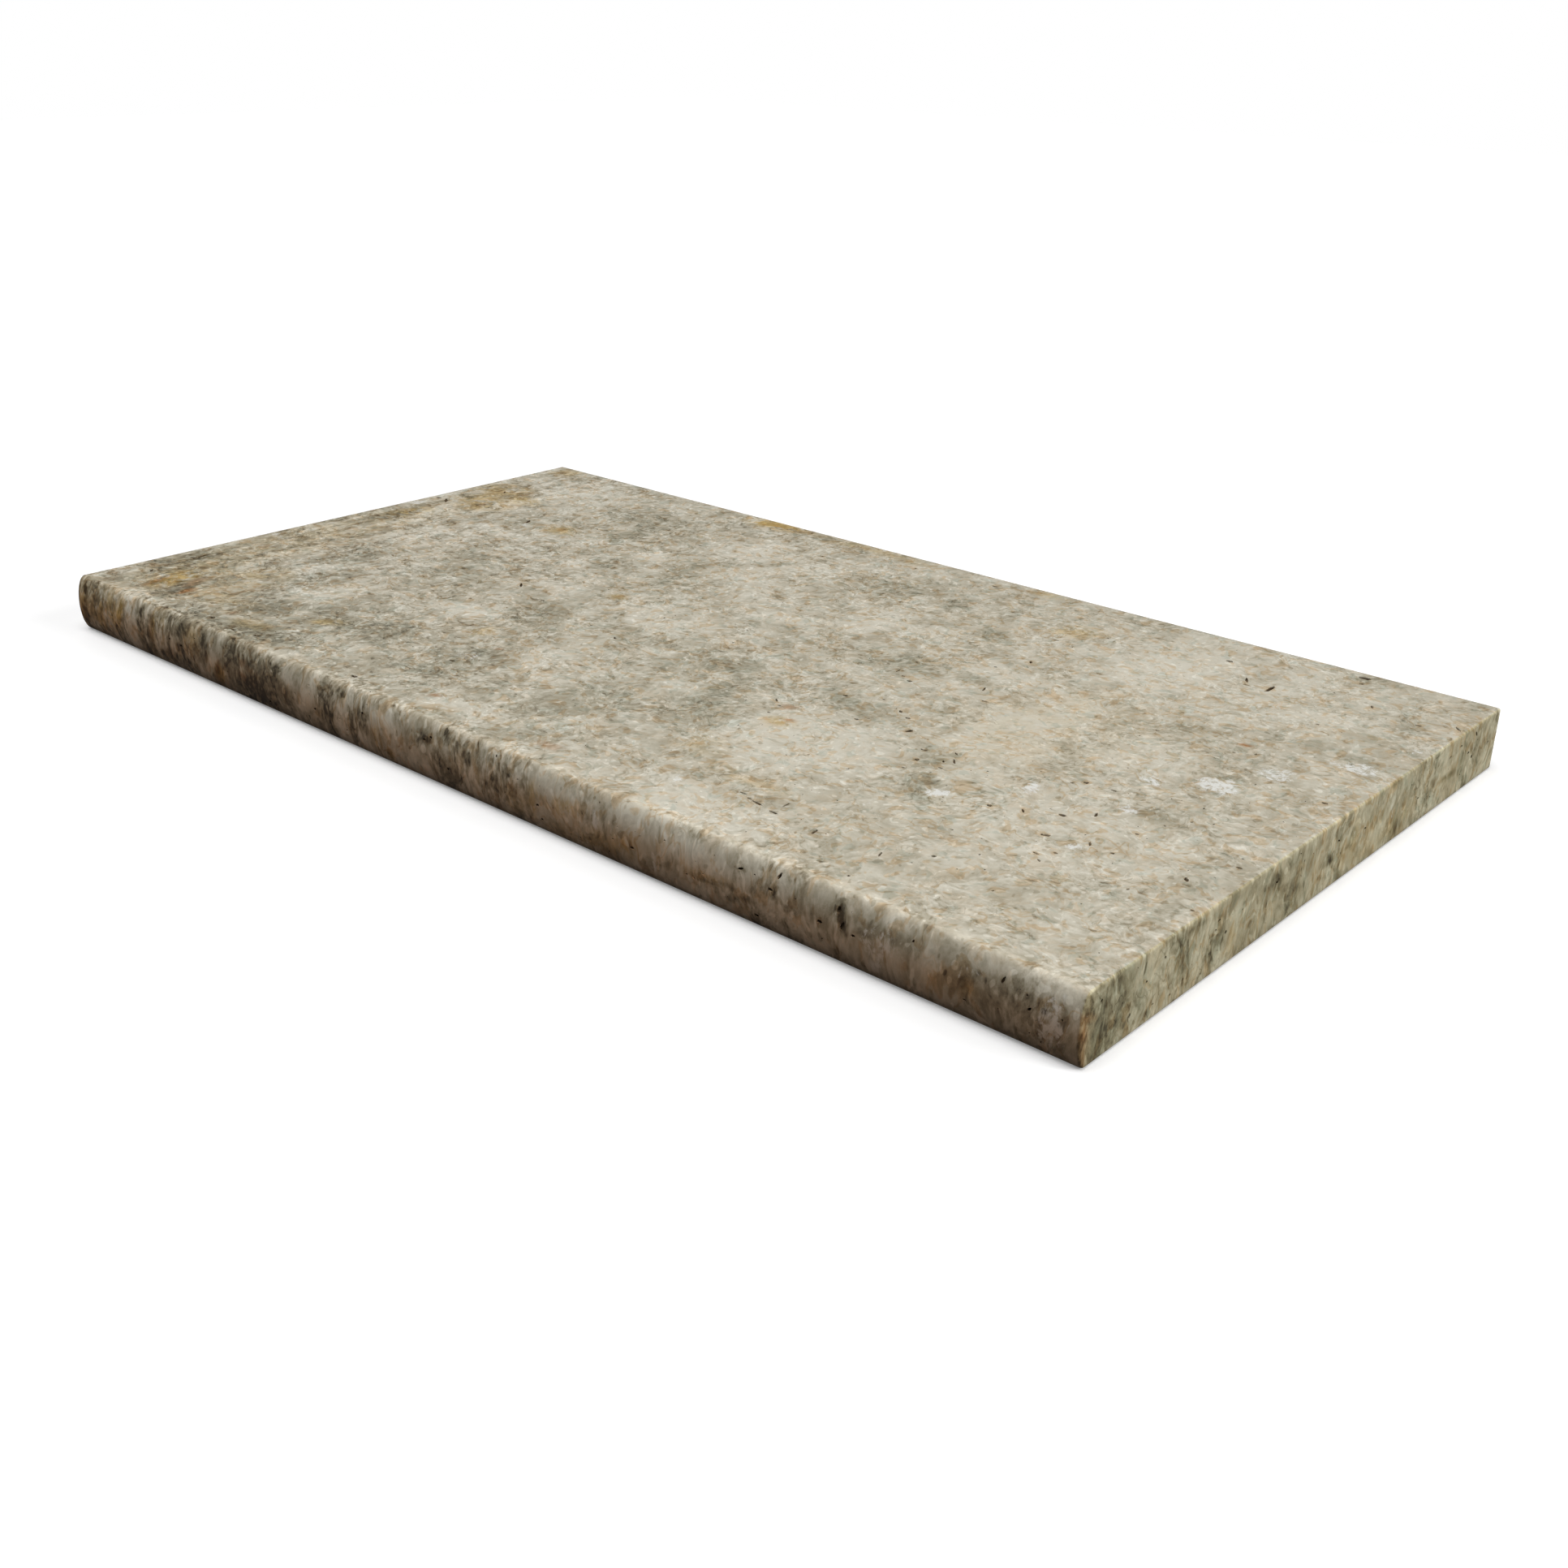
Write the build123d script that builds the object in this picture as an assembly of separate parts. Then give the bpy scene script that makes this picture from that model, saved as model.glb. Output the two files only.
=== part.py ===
"""Natural stone bullnose coping, one sawn block that finishes the top edge of a pool, wall or step.

Frame: X runs along the coping, the rounded nose faces -Y and the sawn back faces +Y.
Z is up, and the origin is the middle of the bed, where the stone lies on its wall.
All sizes are in millimetres.
"""

import os

from build123d import *

# Driving dimensions
LENGTH = 610.0       # end to end, along X
DEPTH = 335.0        # front of the nose to the back, along Y
THICKNESS = 28.5     # bed to top, along Z
NOSE_DEPTH = 5.0     # how far the rounded nose stands in front of the flat top and bed
ARRIS = 1.2          # easing of every sawn edge

# Derived sizes
HALF_LENGTH = LENGTH / 2
HALF_THICKNESS = THICKNESS / 2
NOSE_FRONT = -DEPTH / 2
NOSE_START = NOSE_FRONT + NOSE_DEPTH   # where the flat top and bed run into the nose
BACK = DEPTH / 2

# The nose bends most sharply where it meets the flats, and the easing of its ends has to be finer than that.
TIGHTEST_NOSE_RADIUS = NOSE_DEPTH**2 / HALF_THICKNESS
SHARE_OF_TIGHTEST = 0.8
ARRIS_RADIUS = min(ARRIS, SHARE_OF_TIGHTEST * TIGHTEST_NOSE_RADIUS)

PLACE_TOLERANCE = 1e-3


def coping_section():
    """The section across the coping: flat bed, back and top, and a nose that is half an ellipse."""
    with BuildSketch(Plane.YZ) as section:
        with BuildLine():
            nose_centre = (NOSE_START, HALF_THICKNESS)
            EllipticalCenterArc(nose_centre, NOSE_DEPTH, HALF_THICKNESS, start_angle=90, arc_size=180)
            Polyline((NOSE_START, THICKNESS), (BACK, THICKNESS), (BACK, 0), (NOSE_START, 0))
        make_face()
    return section.sketch


def is_sawn_edge(edge):
    """Every edge of the block, but not the two lines where the flats run smoothly into the nose."""
    middle = edge.center()
    on_nose_line = abs(middle.Y - NOSE_START) < PLACE_TOLERANCE
    along_the_stone = abs(middle.X) < PLACE_TOLERANCE
    return not (on_nose_line and along_the_stone)


def coping_stone():
    """The whole stone: the section along its length, with the saw's sharp edges eased."""
    block = extrude(coping_section(), HALF_LENGTH, both=True)
    return fillet(block.edges().filter_by(is_sawn_edge), ARRIS_RADIUS)


os.makedirs("parts", exist_ok=True)
stone = coping_stone()
stone.label = "coping_stone"
export_step(stone, "parts/coping_stone.step")
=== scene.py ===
"""The look of a stone bullnose coping: honed silver travertine with open pits, on a pale studio floor.

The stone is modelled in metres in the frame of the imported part, with its nose towards -Y and Z up.
Places on the stone are given in millimetres from its far left corner: across along X, back from the nose
along Y, and up from the bed along Z.
"""

import math
import random

import bmesh
import bpy
import numpy as np
from mathutils import Matrix, Vector, noise as ripple


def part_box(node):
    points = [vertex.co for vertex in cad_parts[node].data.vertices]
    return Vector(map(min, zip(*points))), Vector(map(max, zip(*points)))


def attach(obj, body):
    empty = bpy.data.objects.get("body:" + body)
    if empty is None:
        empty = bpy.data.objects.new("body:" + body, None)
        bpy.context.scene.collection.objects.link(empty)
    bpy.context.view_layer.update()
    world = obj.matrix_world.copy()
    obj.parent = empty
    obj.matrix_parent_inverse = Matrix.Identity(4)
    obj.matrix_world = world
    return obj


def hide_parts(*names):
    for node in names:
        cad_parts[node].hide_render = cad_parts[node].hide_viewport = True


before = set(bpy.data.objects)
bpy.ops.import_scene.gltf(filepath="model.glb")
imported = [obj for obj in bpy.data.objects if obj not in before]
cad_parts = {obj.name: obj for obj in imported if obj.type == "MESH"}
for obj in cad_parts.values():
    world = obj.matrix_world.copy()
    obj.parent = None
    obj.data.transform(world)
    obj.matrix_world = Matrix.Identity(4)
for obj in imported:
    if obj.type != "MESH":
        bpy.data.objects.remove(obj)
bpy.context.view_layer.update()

MM = 0.001
LOW, HIGH = (Vector(corner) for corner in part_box("coping_stone"))
LENGTH = (HIGH.x - LOW.x) / MM
DEPTH = (HIGH.y - LOW.y) / MM
THICKNESS = (HIGH.z - LOW.z) / MM

# The rounded nose and the eased edges, as the mason makes them, in millimetres
NOSE_DEPTH = 5.0
NOSE_STEPS = 12
ARRIS = 1.2
ARRIS_STEPS = 3
PAINT_GRID = 2.5         # spacing of the points that hold the stone's paint
FACING = 0.9             # the part of a normal along an axis past which a face looks that way
SQUARE_TO = 0.999        # the same for a face that lies square to the axis
SMOOTH_ANGLE = 40        # faces that meet at a smaller angle look rounded, in degrees

# Camera at the photograph's angle: its place in metres, its angles in degrees, its lens in millimetres
CAMERA_PLACE = (0.5413, -0.5803, 0.3051)
CAMERA_AZIMUTH = 41.07
CAMERA_ELEVATION = 23.97
CAMERA_ROLL = 1.12
CAMERA_LENS = 40.4
CAMERA_SENSOR = 36.0


# What the photograph shows in the stone. Each row is a soft patch: its two places, its two half sizes, its
# turn in degrees and its strength. On the top the places are across and back, on the nose across and up.
# The near end shows the same beds as the nose, from BEDS_START on and stretched a little.

CREAM_ON_TOP = (
    (65, 300, 24, 34, 10, 0.7), (222, 286, 22, 24, 0, 0.8), (266, 278, 16, 16, 0, 0.6),
    (242, 244, 14, 20, 20, 0.8), (264, 234, 18, 14, -30, 0.7), (303, 206, 30, 9, 12, 0.9),
    (340, 228, 11, 24, 0, 0.7), (265, 165, 26, 18, -15, 0.8), (185, 235, 10, 10, 0, 0.9),
    (163, 192, 9, 14, 30, 0.6), (188, 107, 22, 10, 15, 0.9), (193, 162, 9, 16, 10, 0.6),
    (263, 102, 11, 26, 0, 0.7), (337, 104, 17, 6, 0, 0.8), (285, 19, 18, 12, 0, 0.8),
    (196, 32, 10, 16, 0, 0.6), (414, 92, 38, 34, 20, 0.9), (472, 168, 24, 52, 0, 0.9),
    (527, 176, 20, 22, 0, 0.8), (428, 217, 24, 13, 0, 0.9), (482, 282, 26, 42, 0, 0.8),
    (420, 20, 46, 16, 0, 0.9), (576, 98, 9, 26, 0, 0.6), (112, 72, 18, 22, 0, 0.6),
    (60, 168, 12, 20, 0, 0.5), (372, 240, 17, 15, 0, 0.7), (556, 270, 14, 8, 0, 0.8),
    (14, 136, 10, 26, 0, 0.4), (345, 245, 10, 18, 0, 0.5), (140, 228, 14, 8, 0, 0.5),
    (85, 205, 28, 7, 0, 0.5), (465, 138, 10, 12, -40, 0.6), (540, 40, 40, 45, 0, 0.1),
    (520, 110, 50, 40, 0, 0.4), (500, 280, 90, 55, 0, 0.45),
)
GREY_ON_TOP = (
    (130, 284, 30, 24, 0, 0.6), (150, 250, 9, 14, 30, 0.7), (216, 224, 11, 28, 15, 0.6),
    (172, 206, 18, 13, 0, 0.5), (120, 165, 26, 14, 0, 0.5), (68, 124, 20, 28, 0, 0.5),
    (130, 135, 30, 18, 0, 0.4), (214, 130, 18, 22, 0, 0.6), (82, 227, 10, 12, 0, 0.5),
    (312, 284, 18, 22, 0, 0.5), (350, 281, 7, 9, 45, 0.6), (397, 258, 14, 7, -35, 0.6),
    (386, 197, 26, 14, 0, 0.6), (422, 203, 10, 7, 0, 0.7), (408, 139, 28, 9, -8, 0.8),
    (330, 138, 24, 11, 0, 0.7), (352, 110, 9, 18, 0, 0.8), (362, 86, 18, 22, 0, 0.5),
    (316, 60, 20, 36, 0, 0.6), (112, 42, 14, 14, 0, 1.0), (150, 52, 26, 7, -12, 0.7),
    (184, 60, 13, 13, 0, 0.7), (243, 68, 16, 13, 0, 0.6), (236, 38, 15, 9, 0, 0.5),
    (150, 18, 28, 9, 0, 0.8), (16, 182, 6, 22, 0, 0.9), (14, 62, 8, 26, 0, 0.8), (56, 22, 9, 18, 15, 1.0),
    (92, 92, 14, 22, 0, 0.5), (474, 96, 7, 9, 0, 0.9), (524, 215, 7, 8, 0, 0.9), (556, 131, 8, 8, 0, 0.9),
    (570, 240, 11, 9, 20, 0.6), (590, 276, 4, 28, 0, 0.6), (466, 118, 8, 14, 0, 0.6),
    (440, 160, 14, 7, 0, 0.5), (330, 22, 26, 9, 30, 0.5), (16, 246, 6, 5, 0, 0.8),
    (553, 328, 8, 5, 0, 0.6), (80, 45, 100, 50, 0, 0.35), (20, 100, 22, 100, 0, 0.3),
    (118, 10, 44, 9, 0, 0.9), (200, 45, 90, 40, 0, 0.35), (305, 125, 75, 34, 0, 0.22),
    (478, 85, 4, 9, 35, 1.3), (490, 81, 9, 3, 0, 0.9), (476, 99, 5, 4, 0, 1.0), (592, 235, 14, 4, 0, 0.6),
    (556, 180, 18, 3, 10, 0.5),
)
OCHRE_ON_TOP = (
    (192, 328, 24, 10, 0, 1.0), (22, 266, 24, 18, 0, 0.7), (34, 240, 22, 15, 0, 0.7),
    (50, 262, 12, 10, 0, 0.6), (112, 232, 13, 10, 0, 0.7), (14, 324, 12, 12, 0, 0.6),
    (40, 33, 9, 20, 10, 0.9), (152, 46, 12, 5, 25, 0.8), (222, 170, 6, 5, 0, 0.8),
    (420, 291, 13, 13, 0, 0.6), (214, 92, 7, 9, 0, 0.6), (388, 62, 14, 12, 0, 0.35),
    (422, 50, 24, 6, 0, 0.35), (130, 20, 14, 7, 0, 0.6), (395, 102, 8, 6, 0, 0.7),
    (260, 328, 50, 6, 0, 0.5), (378, 330, 12, 6, 0, 0.6), (18, 196, 10, 18, 0, 0.6),
    (70, 70, 15, 16, 0, 0.4), (480, 180, 44, 60, 0, 0.15), (24, 120, 26, 120, 0, 0.35),
    (50, 40, 40, 34, 0, 0.35), (95, 30, 24, 12, 0, 0.4),
)
RUST_ON_TOP = (
    (61, 28, 3, 8, 15, 1.0), (396, 107, 2.4, 1.6, 40, 1.0), (387, 117, 3, 3, 0, 0.6),
    (242, 82, 2, 2, 0, 0.8), (266, 23, 2.5, 3, 0, 0.8), (551, 217, 4, 2, 25, 0.9),
    (37, 24, 3, 12, 15, 0.6), (108, 24, 3, 5, 0, 0.4), (52, 38, 3, 10, 20, 0.5), (345, 17, 8, 4, 0, 0.4),
)
CHALK_ON_TOP = (
    (592, 226, 12, 8, 10, 0.7), (573, 195, 8, 9, 0, 0.6), (561, 172, 12, 8, 10, 0.72),
    (484, 91, 6, 6, 0, 1.0), (510, 119, 4, 8, 30, 0.7), (547, 128, 5, 5, 0, 0.7),
    (540, 158, 8, 4, -35, 0.6), (4, 214, 5, 5, 0, 0.8), (5, 117, 4, 3, -30, 0.8),
    (89, 228, 3, 4, 30, 0.7), (404, 29, 4, 6, 20, 0.7), (238, 64, 12, 8, 0, 0.45),
    (462, 202, 6, 5, 0, 0.5), (548, 87, 3, 3, 0, 0.7), (210, 88, 7, 8, 0, 0.4), (148, 61, 5, 3, 0, 0.6),
    (382, 121, 4, 2, -35, 0.7), (472, 62, 2, 2, 0, 0.8), (135, 308, 4, 3, 0, 0.4),
    (606, 262, 3, 8, 0, 0.6), (560, 130, 60, 90, 0, 0.15),
)
CREAM_ON_SIDES = (
    (52, 12, 8, 18, 0, 1.0), (228, 13, 5.5, 9, 0, 1.0), (195, 14, 12, 12, 0, 0.5),
    (257, 20, 8, 6, 0, 0.9), (270, 10, 10, 10, 0, 0.6), (284, 8, 6, 8, 0, 0.5), (318, 10, 5, 12, 0, 0.6),
    (372, 14, 18, 9, 0, 0.4), (440, 20, 22, 6, 0, 0.7), (455, 4, 30, 3.5, 0, 0.7),
    (500, 8, 12, 6, 0, 0.5), (551, 17, 3, 8, 0, 0.8), (91, 14, 1.8, 7, 35, 1.2),
    (123, 13, 3, 8, -25, 1.1), (83, 18, 4, 8, 0, 0.6), (405, 22, 10, 5, 0, 0.5), (350, 22, 12, 6, 0, 0.4),
    (242, 6, 12, 3, 0, 0.3), (418, 14, 36, 20, 0, 0.3),
)
GREY_ON_SIDES = (
    (7, 14, 3, 18, 0, 0.3), (17, 14, 6, 10, 15, 0.25), (60, 19, 1.8, 11, -15, 1.0), (67, 8, 5, 8, 0, 0.7),
    (95, 24, 9, 5, 0, 1.0), (86, 6, 10, 4, 0, 0.8), (102, 7, 8, 5, 0, 0.7), (116, 19, 5, 9, 0, 1.0),
    (138, 19, 5, 9, 0, 1.0), (150, 23, 15, 6, 0, 0.9), (155, 7, 18, 8, 0, 1.1), (172, 16, 12, 12, 0, 0.9),
    (187, 10, 6, 8, 0, 0.8), (163, 11, 1.6, 7, 45, 1.2), (216, 16, 3.5, 15, 20, 1.1),
    (236, 12, 2, 9, 0, 1.0), (243, 18, 4, 7, 0, 0.9), (224, 25, 9, 2.5, 0, 0.8),
    (286, 21, 6, 3.5, 0, 1.2), (299, 24, 6, 3, 0, 0.9), (301, 10, 9, 9, 0, 0.9), (331, 13, 6, 3, 0, 1.1),
    (338, 22, 4, 2, -25, 1.1), (429, 10, 3, 2, 0, 0.8), (452, 12.5, 13, 1.3, 3, 1.2),
    (466, 9.5, 8, 1.2, 14, 1.2), (474, 3, 3, 3.5, 0, 1.6), (466, 22, 3, 1.2, 30, 1.1),
    (481, 18, 3, 3, 0, 0.7), (512, 22, 3, 5, 0, 1.6), (514, 16, 1.8, 4, 20, 1.5), (523, 17, 3, 2, 0, 0.7),
    (532, 21, 7, 4, 0, 0.5), (575, 13, 16, 10, 0, 0.5), (590, 22, 8, 5, 0, 0.5), (600, 12, 8, 8, 0, 0.4),
    (400, 5, 5, 4, 0, 0.6), (344, 2, 3, 3, 0, 0.8), (310, 21, 8, 5, 0, 0.4), (78, 14, 44, 20, 0, 0.25),
    (178, 14, 30, 20, 0, 0.16),
)
OCHRE_ON_SIDES = (
    (4, 14, 6, 16, 0, 0.9), (25, 14, 18, 14, 0, 0.9), (42, 18, 3, 9, -15, 1.2), (73, 18, 3, 11, -8, 1.0),
    (80, 21, 5, 7, 0, 0.8), (78, 5, 14, 4, 0, 0.6), (107, 19, 8, 8, 0, 0.7), (130, 8, 6, 7, 0, 1.1),
    (252, 10, 2.5, 8, 0, 0.9), (260, 5, 3, 4, 0, 1.2), (355, 14, 5, 9, 0, 0.8), (343, 10, 7, 6, 0, 0.6),
    (374, 16, 8, 5, 0, 0.7), (395, 8, 14, 6, 0, 0.6), (408, 12, 7, 7, 0, 0.6), (372, 5, 22, 4, 0, 0.5),
    (555, 10, 4, 8, 0, 0.5), (452, 13, 16, 2.5, 3, 0.7), (568, 14, 4, 4, 0, 0.6), (320, 12, 2, 8, 0, 0.6),
)
RUST_ON_SIDES = (
    (152, 20, 3.5, 2, 15, 1.0), (151, 13, 3, 2, 0, 0.9), (156, 17, 1.5, 2, 0, 0.8),
    (71, 19, 1.2, 9, 0, 0.7), (64, 22, 1.2, 5, 0, 0.6), (128, 12, 1.5, 7, -20, 0.8),
    (134, 5, 3, 2, 0, 0.6), (86, 8, 8, 3, 0, 0.4),
)
CHALK_ON_SIDES = (
    (354, 17, 2, 3, 0, 0.6), (391, 16, 1.8, 7, 0, 0.9), (422, 10, 1.6, 6, 0, 0.8),
    (529, 15, 9, 9, 0, 0.6), (529, 5, 7, 3, 0, 0.6), (600, 12, 7, 9, 0, 0.7), (602, 22, 5, 4, 0, 0.6),
    (503, 8, 2, 2, 0, 0.5), (480, 16, 4, 5, 0, 0.3), (565, 20, 14, 5, 0, 0.3),
)
PATCHES = {
    "cream": (CREAM_ON_TOP, CREAM_ON_SIDES), "grey": (GREY_ON_TOP, GREY_ON_SIDES),
    "ochre": (OCHRE_ON_TOP, OCHRE_ON_SIDES), "rust": (RUST_ON_TOP, RUST_ON_SIDES),
    "chalk": (CHALK_ON_TOP, CHALK_ON_SIDES),
}

# How strongly the side patches show on the nose and on the near end
SIDE_STRENGTHS = {
    "cream": (1.2, 0.8), "grey": (1.6, 1.2), "ochre": (0.9, 0.5), "rust": (0.6, 0.5), "chalk": (1.0, 0.8),
}
TOP_PATCH_DEPTH = 14.0   # half size of every patch of the top, down into the stone
SIDE_PATCH_DEPTH = 10.0  # half size of every patch of the sides, in from their face
PATCH_EDGE = (0.4, 1.3)  # where a patch begins to fade and where it ends, as parts of its half sizes
BEDS_START = 148.5
BEDS_STRETCH = 1.07
RIM = 1.6                # how far the brown rim of a pit reaches

# How the patches are pushed about, first widely and then finely: size and reach in millimetres
TOP_SWAYS = ((30, 5), (8, 2))
SIDE_SWAYS = ((20, 2), (6, 1))
SWAY_SEED = 7            # without a seed this noise would start from the clock

# The open pits: two places, length, width and turn in degrees
PITS_ON_TOP = (
    (432, 39, 3, 1, 0), (437, 37, 2, 1, 0), (442, 36, 5, 1.2, -10), (452, 34, 4, 1.2, -5),
    (451, 42, 4, 1, 90), (474, 32, 3.5, 1.5, 100), (503, 34, 3, 1, 110), (439, 133, 3.5, 2.5, 60),
    (423, 148, 2.5, 1.5, -40), (430, 144, 2.5, 1.5, 0), (394, 146, 2.5, 1.5, 0), (415, 128, 2, 1.5, 0),
    (409, 154, 1.5, 1, 0), (460, 111, 2, 2, 0), (456, 121, 3, 1.2, 0), (472, 120, 4, 1, -50),
    (469, 117, 2, 1, -50), (468, 127, 2.4, 1, -40), (472, 111, 2, 1, 0), (461, 101, 1.6, 1, 0),
    (522, 139, 2, 2, 0), (534, 140, 2.5, 1.2, 0), (518, 135, 1.4, 1.2, 0), (532, 107, 2.8, 2, 0),
    (541, 116, 3.2, 1.2, 110), (561, 112, 1.4, 1.2, 0), (537, 88, 3.4, 1.8, 20), (519, 100, 3, 1, -50),
    (507, 95, 2.2, 1.5, 0), (563, 92, 1.6, 1.2, 0), (593, 92, 2.8, 1.5, 130), (602, 113, 2, 1.2, 0),
    (543, 73, 2.6, 1, -10), (547, 69, 2, 1, -30), (548, 78, 1.6, 1, 0), (553, 93, 3, 1, 120),
    (376, 121, 3, 1, -40), (381, 117, 2, 1, 0), (383, 108, 1.4, 1, 0), (606, 73, 1.4, 1, 0),
    (525, 285, 8, 2.2, 90), (512, 288, 5, 1.3, 120), (515, 282, 3, 1, 0), (592, 289, 2.6, 1.5, 0),
    (568, 296, 3, 1.2, 120), (550, 328, 5, 3, 0), (552, 320, 2, 1.5, 0), (494, 305, 3, 2, 0),
    (428, 239, 3.2, 1.5, 120), (459, 248, 3, 1, 0), (403, 180, 2.2, 2, 0), (397, 183, 1.6, 1.2, 0),
    (391, 187, 3.6, 1, 100), (442, 183, 3.2, 1.2, 0), (433, 195, 4, 1.1, 110), (514, 206, 1.6, 1.1, 0),
    (599, 186, 2.2, 1.5, 0), (420, 222, 1.6, 1, 0), (349, 322, 3, 1.3, 0), (606, 297, 4, 1.1, -45),
    (419, 273, 3, 1, 0), (560, 260, 1.6, 1, 0), (372, 183, 1.6, 1, 0), (106, 296, 7, 1.3, 80),
    (84, 233, 6, 2, 120), (6, 230, 4, 2, 0), (14, 229, 7, 1.8, -40), (24, 266, 3.2, 1.5, -50),
    (250, 300, 1.4, 1.2, 0), (169, 157, 3, 1.3, 50), (173, 151, 5.4, 1.5, -45), (267, 128, 2.6, 1.3, -30),
    (200, 142, 2.6, 1, 0), (14, 65, 12, 1.8, -80), (18, 33, 4, 1.5, -40), (155, 31, 4, 1.2, 90),
    (107, 13, 3, 2, 0), (145, 13, 3, 2, 30), (130, 10, 2.4, 1.6, 0), (222, 12, 3.6, 2, 0),
    (237, 55, 3, 1.8, 0),
)
PITS_ON_NOSE = (
    (504, 15, 2, 1.6, 0), (512, 22, 2.6, 1.8, 80), (514, 17, 3, 1.3, 70), (466, 22, 2.4, 1, 20),
    (481, 19, 1.8, 1.2, 0), (98, 15, 2, 1.4, 0), (286, 20, 1.8, 1.2, 0), (290, 22, 1.6, 1, 0),
    (243, 20, 1.6, 1.2, 0), (411, 12, 1.6, 1.2, 0), (474, 6, 2, 1.2, 0), (519, 15, 1.6, 1.1, 0),
    (580, 22, 2.6, 1, 70), (484, 25, 2.6, 1.2, 60), (591, 16, 1.6, 1, 40),
)
PITS_ON_END = (
    (282, 21, 2.4, 1, 20), (293, 23, 2, 1, 0), (303, 17, 1.8, 1.2, 0), (253, 12, 1.6, 1.1, 0),
    (325, 15, 2, 1.2, 40), (128, 20, 1.8, 1.2, 0), (86, 21, 1.6, 1.1, 0), (30, 8, 1.8, 1.1, 60),
    (202, 16, 1.6, 1, 0), (309, 24, 3, 1, -50),
)


def srgb(red, green, blue):
    """A colour read off a screen, from 0 to 255, as the linear colour that a shader takes."""
    shares = (channel / 255 for channel in (red, green, blue))
    return tuple(s / 12.92 if s <= 0.04045 else ((s + 0.055) / 1.055) ** 2.4 for s in shares) + (1.0,)


# Modelling with Blender's own tools


def edit(piece, kind):
    """Opens a piece in edit mode to select its VERT, EDGE or FACE, with nothing selected yet."""
    bpy.ops.object.select_all(action="DESELECT")
    bpy.context.view_layer.objects.active = piece
    piece.select_set(True)
    bpy.ops.object.mode_set(mode="EDIT")
    bpy.ops.mesh.select_mode(type=kind)
    bpy.ops.mesh.select_all(action="DESELECT")
    return bmesh.from_edit_mesh(piece.data)


def leave_edit():
    bpy.ops.object.mode_set(mode="OBJECT")


def join_flat_faces(piece, wanted):
    """Joins the wanted faces, which lie in one plane, into one."""
    mesh = bmesh.from_edit_mesh(piece.data)
    for face in mesh.faces:
        face.select = wanted(face)
    bmesh.update_edit_mesh(piece.data)
    bpy.ops.mesh.dissolve_faces()
    bpy.ops.mesh.select_all(action="DESELECT")


def rounded_nose(piece):
    """Draws the front face forward in ever lower steps, so that it becomes half an ellipse."""
    mesh = edit(piece, "FACE")
    for face in mesh.faces:
        face.select = face.normal.y < -FACING
    bmesh.update_edit_mesh(piece.data)
    last_angle = math.radians(90 * (NOSE_STEPS - 0.5) / NOSE_STEPS)     # half a step short of the tip
    forward, height = 0.0, 1.0
    for step in range(1, NOSE_STEPS + 1):
        angle = last_angle * step / NOSE_STEPS
        next_forward = NOSE_DEPTH * MM * math.sin(angle) / math.sin(last_angle)
        next_height = math.cos(angle)
        move = {"value": (0, forward - next_forward, 0)}
        bpy.ops.mesh.extrude_region_move(TRANSFORM_OT_translate=move)
        bpy.ops.transform.resize(value=(1, 1, next_height / height))
        forward, height = next_forward, next_height
    bpy.ops.mesh.select_all(action="DESELECT")
    join_flat_faces(piece, lambda face: face.normal.x > FACING)
    join_flat_faces(piece, lambda face: face.normal.x < -FACING)
    leave_edit()


def eased_edges(piece):
    """Rounds every sawn edge by the arris, but not the lines of the nose along the stone."""
    mesh = edit(piece, "EDGE")
    for edge in mesh.edges:
        a, b = (vert.co for vert in edge.verts)
        along = abs(a.x - b.x) > ARRIS * MM
        at_back = min(a.y, b.y) > HIGH.y - ARRIS * MM
        at_end = abs(abs(a.x + b.x) / 2 - HIGH.x) < ARRIS * MM
        edge.select = (at_end and not along) or (at_back and along)
    bmesh.update_edit_mesh(piece.data)
    bpy.ops.mesh.bevel(offset=ARRIS * MM, segments=ARRIS_STEPS, profile=0.5, affect="EDGES")
    leave_edit()


def cut_across(piece, axis, places, wanted=None):
    """Cuts a piece through at each place along an axis, all of it or only the wanted faces."""
    mesh = edit(piece, "FACE")
    normal = Vector((0, 0, 0))
    normal[axis] = 1
    for place in places:
        if wanted is None:
            bpy.ops.mesh.select_all(action="SELECT")
        else:
            for face in mesh.faces:
                face.select = wanted(face)
            bmesh.update_edit_mesh(piece.data)
        bpy.ops.mesh.bisect(plane_co=normal * place, plane_no=normal)
    bpy.ops.mesh.select_all(action="DESELECT")
    leave_edit()


def on_bed(face):
    return face.normal.z < -SQUARE_TO


def on_end(face):
    return abs(face.normal.x) > SQUARE_TO


def painted_grid(piece):
    """Cuts the faces that show into a fine grid that can hold paint, and keeps the bed in one piece."""
    grid = PAINT_GRID * MM
    flat_front = LOW.y + NOSE_DEPTH * MM
    cut_across(piece, 0, [LOW.x + grid * i for i in range(1, round(LENGTH / PAINT_GRID))])
    edit(piece, "FACE")
    join_flat_faces(piece, on_bed)
    leave_edit()
    cut_across(piece, 1, [flat_front + grid * i for i in range(1, int((DEPTH - NOSE_DEPTH) / PAINT_GRID))])
    edit(piece, "FACE")
    join_flat_faces(piece, on_bed)
    leave_edit()
    cut_across(piece, 2, [LOW.z + grid * i for i in range(1, int(THICKNESS / PAINT_GRID))], on_end)


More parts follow.
